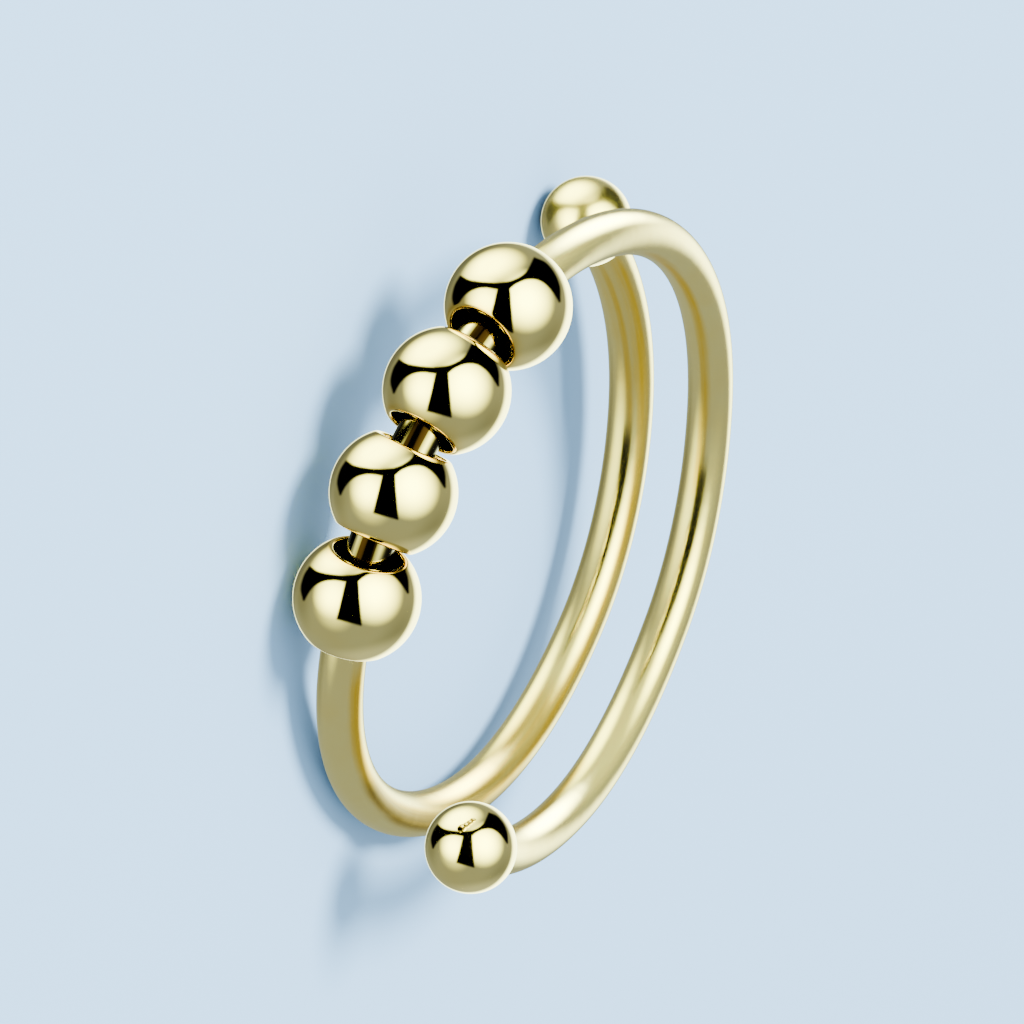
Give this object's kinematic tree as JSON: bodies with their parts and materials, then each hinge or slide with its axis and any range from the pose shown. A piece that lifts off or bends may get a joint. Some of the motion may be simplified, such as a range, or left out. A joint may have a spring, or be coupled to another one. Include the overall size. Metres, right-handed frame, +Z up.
{
  "type": "spinner ring",
  "caption": "Open adjustable finger ring of coiled round wire with a ball on each end and a row of polished drilled beads that spin on the wire.",
  "frame": {"origin": "on the surface that the ring rests on, under the middle of its box", "axes": "+Z up from that surface; the row of beads faces -Y, the end balls are at +X and -X"},
  "size_m": [0.0226, 0.0216, 0.0058],
  "materials": {
    "wire": "polished pale gold plating on brass wire",
    "beads": "mirror-polished pale gold plating"
  },
  "bodies": {
    "ring": {"ring_wire": "wire"},
    "bead_1_body": {"bead_1": "beads"},
    "bead_2_body": {"bead_2": "beads"},
    "bead_3_body": {"bead_3": "beads"},
    "bead_4_body": {"bead_4": "beads"}
  },
  "joints": [
    {"name": "bead_1_spin", "type": "hinge", "parent": "ring", "child": "bead_1_body", "pos_m": [-0.00438, -0.00782, 0.0039], "axis": [-0.8649, 0.4772, 0.1556], "continuous": true},
    {"name": "bead_2_spin", "type": "hinge", "parent": "ring", "child": "bead_2_body", "pos_m": [-0.0012, -0.00888, 0.00331], "axis": [-0.9714, 0.1388, 0.1928], "continuous": true},
    {"name": "bead_3_spin", "type": "hinge", "parent": "ring", "child": "bead_3_body", "pos_m": [0.00212, -0.00875, 0.0026], "axis": [-0.9537, -0.2145, 0.2108], "continuous": true},
    {"name": "bead_4_spin", "type": "hinge", "parent": "ring", "child": "bead_4_body", "pos_m": [0.00519, -0.00744, 0.0019], "axis": [-0.8151, -0.5455, 0.1951], "continuous": true}
  ]
}
